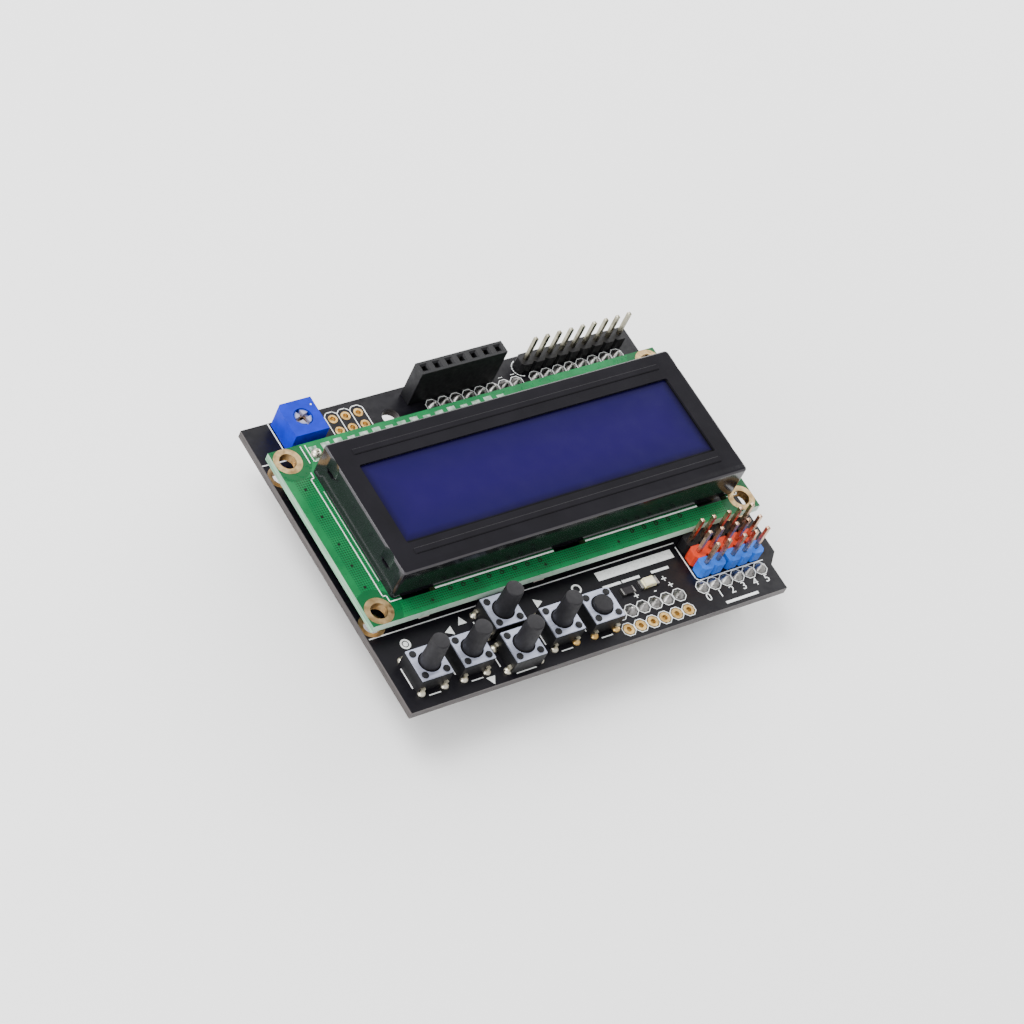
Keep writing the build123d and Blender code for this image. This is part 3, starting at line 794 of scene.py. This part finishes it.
class MODULE_OT_carrier_print(ModuleOperator):
    """Prints the carrier board: outlines, octagons, arrows, figures and blank label fields"""
    bl_idname = "module.carrier_print"
    bl_label = "Carrier print"

    def execute(self, context):
        width = self.sizes.stroke
        height = self.sizes.print_height
        shape = bmesh.new()
        self.button_outlines(shape, width, height)
        self.octagons(shape, width, height)
        self.lines(shape, width, height)
        self.marks(shape, height)
        finished("carrier_print", shape, "print")
        return {"FINISHED"}

    def button_outlines(self, shape, width, height):
        """Strokes beside each button, long on the closed sides and short between the legs."""
        leg_side, leg_half = 4.0 * MM, 1.05 * MM
        closed_side, closed_half = 3.15 * MM, 1.9 * MM
        for name in BUTTONS:
            centre = middle(name + "_base")
            centre.z = BOARD_TOP
            turn = Matrix.Rotation(button_turn(name), 3, "Z")
            for side in (-1, 1):
                between_legs = [Vector((x, side * leg_side, 0)) for x in (-leg_half, leg_half)]
                beside = [Vector((side * closed_side, y, 0)) for y in (-closed_half, closed_half)]
                for start, end in (between_legs, beside):
                    stroke(shape, centre + turn @ start, centre + turn @ end, width, height)

    def octagons(self, shape, width, height):
        """Octagonal outlines round the controller rows and the spare holes."""
        radius = 1.37 * MM
        sides = 8
        ring = ring_template(radius - width * 0.75, radius, height, sides)
        places = spare_places(BOARD_TOP)
        for node in CONTROLLER_ROWS:
            places += pin_row(node, BOARD_TOP)
        stamped(ring, places, shape, math.pi / sides)

    def lines(self, shape, width, height):
        """Lines round the trimmer, small pads and sensor pins, before the display and at the rear pins."""
        outlines = (
            ((-6.6, 55.7), (-6.6, 48.6), (0.7, 48.6)),
            ((-11.4, 12.1), (50.7, 12.1)),
            ((-11.7, 48.2), (-5.9, 48.0)),
            ((50.6, 11.2), (50.6, 4.5), (51.0, 3.9), (64.9, 3.9)),
        )
        for points in outlines:
            path(shape, [grid(*point) for point in points], width, height)
        thin = width * 0.8
        for i in range(4):
            x = SMALL_PADS_X - PITCH_MM / 2 + PITCH_MM * i
            path(shape, [grid(x, 48.9), grid(x, 54.1)], thin, height)
        for i in range(3):
            x = SMALL_PADS_X + PITCH_MM * i
            roof = ((x - 1.16, 54.28), (x - 0.6, 54.8), (x + 0.6, 54.8), (x + 1.16, 54.28))
            path(shape, [grid(*point) for point in roof], thin, height)
        away = 1.75 * MM
        first_pin = pin_row("nine_pin_pins", BOARD_TOP)[0]
        path(shape, arc_points(first_pin, away, 110, 262, 9), thin, height)
        half = Vector((0.35 * MM, 0, 0))
        behind = Vector((0, away, 0))
        for node in DIGITAL_ROWS:
            for place in pin_row(node, BOARD_TOP):
                stroke(shape, place + behind - half, place + behind + half, thin * 0.7, height)

    def marks(self, shape, height):
        """Arrows, two rings, one of them with a dot, plain figures and signs, and blank fields."""
        size = 1.0 * MM
        quarter = math.pi / 2
        for x, y, turn in ((2.6, 9.2, math.pi), (5.4, 10.2, quarter), (4.6, -1.3, -quarter), (20.2, 9.2, 0)):
            arrow(shape, grid(x, y), size, turn, height)
        ring = ring_template(0.65 * MM, 0.95 * MM, height)
        dot = disc_template(0.45 * MM, height)
        select = grid(-6.05, 9.4)
        stamped(ring, [select, grid(28.4, 9.4)], shape)
        stamp(shape, dot, select)
        figure = 2.1 * MM
        figure_y = GRID_Y + 0.35 * MM
        for i, place in enumerate(pin_row("analog_pins", BOARD_TOP)):
            stamp(shape, glyph_mesh(str(i), figure, height), Vector((place.x, figure_y, BOARD_TOP)))
        for text, x, y in (("+", 44.9, 6.2), ("+", 38.1, 4.75), ("-", 41.95, 4.75), ("+", 45.4, 4.75)):
            stamp(shape, glyph_mesh(text, figure, height), grid(x, y))
        plate(shape, grid(33.2, 9.5), grid(49.3, 11.2) + Vector((0, 0, height)))
        bar = 0.5 * MM
        for x0, x1, y in ((33.4, 36.6, 8.1), (37.4, 40.6, 8.1), (43.6, 46.8, 8.1), (53.5, 60.0, -1.6)):
            path(shape, [grid(x0, y), grid(x1, y)], bar, height)


class MODULE_OT_display_print(ModuleOperator):
    """Prints the display board: the outline round the frame and its corner steps"""
    bl_idname = "module.display_print"
    bl_label = "Display board print"

    def execute(self, context):
        width = self.sizes.stroke * 0.8
        height = self.sizes.print_height
        shape = bmesh.new()
        left = bezel_low.x - 1.15 * MM
        right = bezel_high.x + 1.15 * MM
        front = bezel_low.y - 0.95 * MM
        back = bezel_high.y + 1.4 * MM

        def line(points, breadth=width):
            path(shape, [Vector((x, y, LCD_TOP)) for x, y in points], breadth, height)

        step = 0.65 * MM
        front_step = front + 1.3 * MM
        back_step = back - 3.0 * MM
        for x, way in ((left, 1), (right, -1)):
            stepped = x + way * step
            line((
                (x + way * 2.8 * MM, front), (stepped, front), (stepped, front_step), (x, front_step),
                (x, back_step), (stepped, back_step), (stepped, back - 1.9 * MM)))
        slot = 6.4 * MM
        slot_pitch = 30.5 * MM
        half = slot / 2 + 0.25 * MM
        slots = [(bezel_low.x + bezel_high.x) / 2 + i * slot_pitch for i in (-1, 0, 1)]
        for start, end in zip(slots, slots[1:]):
            line(((start + half, front), (end - half, front)), width * 1.8)
        inset = 2.4 * MM
        line(((left + inset, back), (right - inset, back)))
        for x in (left + inset, left + 1.5 * MM):
            line(((x, back), (x, back + 3.4 * MM)))
        inner = bezel_low.x - 0.25 * MM
        line(((inner, front + 4.2 * MM), (inner, back - 5.9 * MM)), width * 0.5)
        finished("display_board_print", shape, "print")
        return {"FINISHED"}


class MODULE_OT_plating(ModuleOperator):
    """Plated rings, pads and hole walls on both boards"""
    bl_idname = "module.plating"
    bl_label = "Plating"

    def execute(self, context):
        height = self.sizes.pad_height
        self.corner_rings(height)
        self.small_pads(height)
        self.solder_pads(height)
        return {"FINISHED"}

    def corner_rings(self, height):
        """Wide rings with plated walls in the display board's corners and in the carrier below them."""
        wall = 0.04 * MM
        inner = CORNER_HOLE - wall
        rings = (
            ("display_corner_rings", "display_board", lcd_low, lcd_high, 2.55 * MM),
            ("carrier_corner_rings", "carrier_board", board_low, board_high, 2.3 * MM),
        )
        for name, slot, low, high, outer in rings:
            shape = bmesh.new()
            lining = ring_template(inner, CORNER_HOLE, high.z - low.z + 2 * height, RING_STEPS)
            broad = ring_template(inner, outer, height, RING_STEPS)
            stamped(lining, lcd_corners(low.z - height), shape)
            stamped(broad, lcd_corners(high.z), shape)
            stamped(broad, lcd_corners(low.z - height), shape)
            cut_at_board(shape, low, high)
            finished(name, shape, "copper_ring")

    def small_pads(self, height):
        """Gold pads with open plated holes: the six small pads and the spare row."""
        shape = bmesh.new()
        wall = 0.035 * MM
        inner = SMALL_HOLE - wall
        lining = ring_template(inner, SMALL_HOLE, BOARD_TOP - BOARD_UNDER + 2 * height)
        ring = ring_template(inner, 0.86 * MM, height)
        broad = ring_template(inner, 1.0 * MM, height)
        for places, pad in ((small_pad_places, ring), (spare_places, broad)):
            stamped(lining, places(BOARD_UNDER - height), shape)
            stamped(pad, places(BOARD_TOP), shape)
            stamped(pad, places(BOARD_UNDER - height), shape)
        finished("gold_pads", shape, "gold")

    def solder_pads(self, height):
        """Long tinned pads of the display header, worn uneven by the soldering iron."""
        shape = bmesh.new()
        reach, longer = 1.5 * MM, 0.15 * MM
        narrow, wider = 0.72 * MM, 0.05 * MM
        for i, place in enumerate(pin_row("lcd_header_pins", LCD_TOP)):
            back = reach + longer * (i * 7 % 3)
            half = narrow + wider * (i * 5 % 3)
            plate(shape, place - Vector((half, reach, 0)), place + Vector((half, back, height)))
        finished("display_header_pads", shape, "pad_tin")


class MODULE_OT_solder(ModuleOperator):
    """Solder joints round the pins and legs, above and below the boards"""
    bl_idname = "module.solder"
    bl_label = "Solder"

    def execute(self, context):
        radius = self.sizes.pad_radius
        height = self.sizes.solder_height
        tip = 0.14 * MM
        cone = solder_template(radius, height, tip)
        shape = bmesh.new()
        for node in CONTROLLER_ROWS:
            stamped(cone, pin_row(node, BOARD_TOP), shape)
        finished("carrier_solder", shape, "tin", angle=JOINT_ANGLE)
        shape = stamped(blob_template(0.95 * MM, 0.85 * MM), pin_row("lcd_header_pins", LCD_TOP))
        finished("display_solder", shape, "leg_tin", angle=JOINT_ANGLE)
        self.under(radius)
        self.legs()
        return {"FINISHED"}

    def under(self, radius):
        """Joints under the carrier board, round the pins and legs that come through from above."""
        height, tip = 0.9 * MM, 0.36 * MM
        foot = solder_template(radius * 0.9, height, tip)
        shape = bmesh.new()
        places = signal_places(0)
        for node in ("nine_pin_pins", "lcd_header_pins", "module_socket_contacts"):
            places += pin_row(node, 0)
        for name in BUTTONS:
            places += button_legs(name, 0)
        stamped(foot, places, shape)
        bmesh.ops.scale(shape, vec=(1, 1, -1), verts=shape.verts)
        bmesh.ops.translate(shape, vec=(0, 0, BOARD_UNDER), verts=shape.verts)
        finished("under_solder", shape, "tin", angle=JOINT_ANGLE)

    def legs(self):
        """Rounded joints at the buttons' legs; those nearest the reset button are gold plated."""
        drop = blob_template(0.74 * MM, 0.55 * MM)
        pale = bmesh.new()
        golden = bmesh.new()
        for name in BUTTONS:
            for i, place in enumerate(button_legs(name, BOARD_TOP)):
                gilded = name == "reset" or (name == "right" and i == 2)
                stamp(golden if gilded else pale, drop, place)
        finished("leg_solder", pale, "leg_tin", angle=JOINT_ANGLE)
        finished("gilded_leg_solder", golden, "gold", angle=JOINT_ANGLE)


class MODULE_OT_buttons(ModuleOperator):
    """Rounded plungers that replace the plain ones, and domed rivet heads"""
    bl_idname = "module.buttons"
    bl_label = "Buttons"

    def execute(self, context):
        for name in BUTTONS:
            self.plunger(name)
        self.rivets()
        return {"FINISHED"}

    def plunger(self, name):
        """Shaft, flange and nub spun as one piece, with a softly rounded tip."""
        low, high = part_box(name + "_plunger")
        centre = middle(name + "_plunger")
        rest = high.z - low.z
        shaft = 1.75 * MM
        tip = shaft if name == "reset" else 1.55 * MM
        soft = 0.22 * MM
        nub, nub_top = 0.8 * MM, 0.4 * MM
        flange, flange_top = 2.2 * MM, 0.95 * MM
        profile = [
            (0, 0), (nub, 0), (nub, nub_top), (flange, nub_top), (flange, flange_top), (shaft, flange_top)]
        for turn in QUARTER_TURN:
            profile.append((tip - soft + soft * math.cos(turn), rest - soft + soft * math.sin(turn)))
        profile.append((0, rest))
        shape = stamped(turned(profile, steps=40), [(centre.x, centre.y, low.z)])
        piece = finished(name + "_cap", shape, "plunger", name + "_button", 50)
        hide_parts(name + "_plunger")

    def rivets(self):
        """Four low domed heads on each button's corners."""
        shape = bmesh.new()
        head = blob_template(0.63 * MM, 0.1 * MM)
        away = 2.08 * MM
        sunk = 0.05 * MM
        for name in BUTTONS:
            centre = middle(name + "_base")
            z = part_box(name + "_base")[1].z - sunk
            places = [Vector((centre.x + i * away, centre.y + j * away, z)) for i, j in SIGNS]
            stamped(head, places, shape)
        finished("rivet_heads", shape, "button_base")


class MODULE_OT_frame_front(ModuleOperator):
    """The rounded front wall of the display frame, a little in front of the plain one"""
    bl_idname = "module.frame_front"
    bl_label = "Frame front"

    def execute(self, context):
        lap = 0.012 * MM
        top = FRAME_TOP + lap
        front = bezel_low.y - 0.62 * MM
        back = bezel_low.y + 0.72 * MM
        shape = bmesh.new()
        plate(shape, (bezel_low.x - lap, front, LCD_TOP + 2 * lap), (bezel_high.x + lap, back, top))
        corners = [edge for edge in shape.edges if all(vert.co.y < front + lap for vert in edge.verts)
                   and abs(edge.verts[0].co.z - edge.verts[1].co.z) > lap]
        corner_radius, rim_radius = 0.7 * MM, 0.45 * MM
        self.soften(shape, corners, corner_radius)
        rims = [edge for edge in shape.edges if all(vert.co.z > top - lap for vert in edge.verts)
                and any(vert.co.y < back - lap for vert in edge.verts)]
        self.soften(shape, rims, rim_radius)
        finished("frame_front", shape, "frame")
        return {"FINISHED"}

    def soften(self, shape, edges, radius):
        if not edges:
            raise RuntimeError("The frame front has no edges to round")
        bmesh.ops.bevel(
            shape, geom=edges, offset=radius, affect="EDGES", segments=6, profile=0.5, material=-1)


class MODULE_OT_trimmer_marks(ModuleOperator):
    """A painted glint on the trimmer's moulded dimple, and painted shade on the floor of the cross slot"""
    bl_idname = "module.trimmer_marks"
    bl_label = "Trimmer marks"

    def execute(self, context):
        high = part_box("trimmer_body")[1]
        centre = middle("trimmer_rotor")
        height = self.sizes.print_height
        shape = bmesh.new()
        # Painted highlight: a small white disc for the glint in the moulded dimple at the trimmer's back
        # right
        place = Vector((high.x - 0.75 * MM, high.y - 1.5 * MM, high.z))
        stamp(shape, disc_template(0.16 * MM, height, 16), place)
        finished("trimmer_dimple_glint", shape, "print")
        # Painted shade: a dark brown sheet low in the cross slot, for the shade inside it
        floor = bmesh.new()
        slot_turn = math.radians(14)
        slot_depth = 0.7 * MM
        start = Vector((centre.x, centre.y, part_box("trimmer_rotor")[1].z - slot_depth))
        for turn in (0, math.pi / 2):
            angle = turn + slot_turn
            reach = Vector((math.cos(angle), math.sin(angle), 0)) * 0.5 * MM
            stroke(floor, start - reach, start + reach, 0.72 * MM, height)
        finished("rotor_slot_shade", floor, "slot", "trimmer_rotor")
        return {"FINISHED"}


class MODULE_OT_small_parts(ModuleOperator):
    """Metal ends of the power light and of its resistor"""
    bl_idname = "module.small_parts"
    bl_label = "Small parts"

    def execute(self, context):
        shape = bmesh.new()
        for node in ("power_led", "led_resistor"):
            low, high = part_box(node)
            top = low.z + 0.5 * MM
            lap = 0.04 * MM
            over, past = 0.35 * MM, 0.28 * MM
            for x0, x1 in ((low.x - past, low.x + over), (high.x - over, high.x + past)):
                plate(shape, (x0, low.y - lap, BOARD_TOP), (x1, high.y + lap, top))
        bmesh.ops.bevel(
            shape, geom=list(shape.edges), offset=0.08 * MM, affect="EDGES", segments=2, profile=0.5,
            material=-1)
        finished("chip_ends", shape, "tin")
        return {"FINISHED"}


class MODULE_OT_vias(ModuleOperator):
    """A row of small ringed vias along the display board's front, and dots at its front and left side"""
    bl_idname = "module.vias"
    bl_label = "Vias"

    def execute(self, context):
        height = self.sizes.pad_height
        ring = ring_template(0.23 * MM, 0.42 * MM, height, 14)
        dot = disc_template(0.26 * MM, height, 10)
        raised = Vector((0, 0, LCD_TOP - BOARD_TOP))
        via_pitch = 2.58
        rings = [grid(4.2 + via_pitch * i, 14.47) for i in range(8)]
        rings += [grid(41.6 + via_pitch * i, 14.6) for i in range(5)]
        dots = [grid(x, 13.38) for x in (0.07, 22.8, 38.0)]
        dots += [grid(-9.68, y) for y in (19.2, 23.6, 28.0, 33.7, 39.4)]
        shape = stamped(ring, [place + raised for place in rings])
        stamped(dot, [place + raised for place in dots], shape)
        finished("display_vias", shape, "hole_dark")
        return {"FINISHED"}


class MODULE_OT_stage(ModuleOperator):
    """Floor, soft lights, surroundings and the camera at the photograph's angle"""
    bl_idname = "module.stage"
    bl_label = "Stage"

    def execute(self, context):
        stage = context.scene.module_stage
        self.floor(stage)
        self.lights(stage)
        self.camera(context, stage)
        return {"FINISHED"}

    def floor(self, stage):
        shape = bmesh.new()
        bmesh.ops.create_grid(shape, x_segments=1, y_segments=1, size=3.0)
        mesh = bpy.data.meshes.new("floor")
        shape.to_mesh(mesh)
        shape.free()
        made, tree, shader, place = shaded("floor", tuple(stage.floor), 0.7)
        dull = tinted(stage.floor, 0.985)
        painted(shader, patchy(tree, place, 3, 2, dull, tuple(stage.floor)))
        mesh.materials.append(made)
        floor = placed("floor", mesh)

    def lights(self, stage):
        """White surroundings, one high light behind and three low ones round the module."""
        world = bpy.data.worlds.new("surroundings")
        world.use_nodes = True
        background = world.node_tree.nodes["Background"]
        fill(background, {"Color": (1, 1, 1, 1), "Strength": stage.sky})
        bpy.context.scene.world = world
        self.lamp("key_light", (-0.3, 0.32, 0.62), 0.45, stage.key_power)
        self.lamp("left_light", (-0.62, -0.1, 0.22), 0.4, stage.fill_power)
        self.lamp("right_light", (0.6, 0.2, 0.2), 0.4, stage.fill_power)
        self.lamp("back_light", (0.45, 0.62, 0.25), 0.45, stage.fill_power)

    def lamp(self, name, place, size, power):
        """A square soft light that faces the module."""
        data = bpy.data.lights.new(name, "AREA")
        data.energy = power
        data.size = size
        lamp = placed(name, data)
        lamp.location = place
        lamp.rotation_euler = (-Vector(place)).to_track_quat("-Z", "Y").to_euler()

    def camera(self, context, stage):
        """The photograph's camera: its place over the grid, and its right, down and forward directions."""
        place = grid(-272.28, -190.673) + Vector((0, 0, 412.634 * MM))
        right = Vector((0.80673, -0.49578, 0.32154))
        down = Vector((-0.24328, -0.77454, -0.58387))
        forward = Vector((0.53852, 0.39280, -0.74546))
        data = bpy.data.cameras.new("camera")
        data.lens = stage.lens
        data.sensor_width = 36.0
        camera = placed("camera", data)
        turn = Matrix((right, -down, -forward)).transposed()
        camera.matrix_world = Matrix.Translation(place) @ turn.to_4x4()
        context.scene.camera = camera


PIECE_OPERATORS = (
    MODULE_OT_stage,
    MODULE_OT_finishes,
    MODULE_OT_carrier_print,
    MODULE_OT_display_print,
    MODULE_OT_plating,
    MODULE_OT_solder,
    MODULE_OT_buttons,
    MODULE_OT_frame_front,
    MODULE_OT_trimmer_marks,
    MODULE_OT_small_parts,
    MODULE_OT_vias,
)


class MODULE_PT_panel(bpy.types.Panel):
    """Lists the module's settings and operators"""
    bl_idname = "MODULE_PT_panel"
    bl_label = "Display keypad module"
    bl_space_type = "VIEW_3D"
    bl_region_type = "UI"
    bl_category = "Module"

    def draw(self, context):
        scene = context.scene
        for settings in (scene.module_colors, scene.module_sizes, scene.module_stage):
            for name in settings.__annotations__:
                self.layout.prop(settings, name)
        for operator in PIECE_OPERATORS:
            self.layout.operator(operator.bl_idname)


SETTINGS = {"module_colors": ModuleColors, "module_sizes": ModuleSizes, "module_stage": ModuleStage}
CLASSES = (*SETTINGS.values(), *PIECE_OPERATORS, MODULE_PT_panel)


def register():
    for entry in CLASSES:
        bpy.utils.register_class(entry)
    for name, group in SETTINGS.items():
        setattr(bpy.types.Scene, name, PointerProperty(type=group))


def unregister():
    for name in SETTINGS:
        delattr(bpy.types.Scene, name)
    for entry in reversed(CLASSES):
        bpy.utils.unregister_class(entry)


def main():
    register()
    for operator in PIECE_OPERATORS:
        group, name = operator.bl_idname.split(".")
        getattr(getattr(bpy.ops, group), name)()


if __name__ == "__main__":
    main()
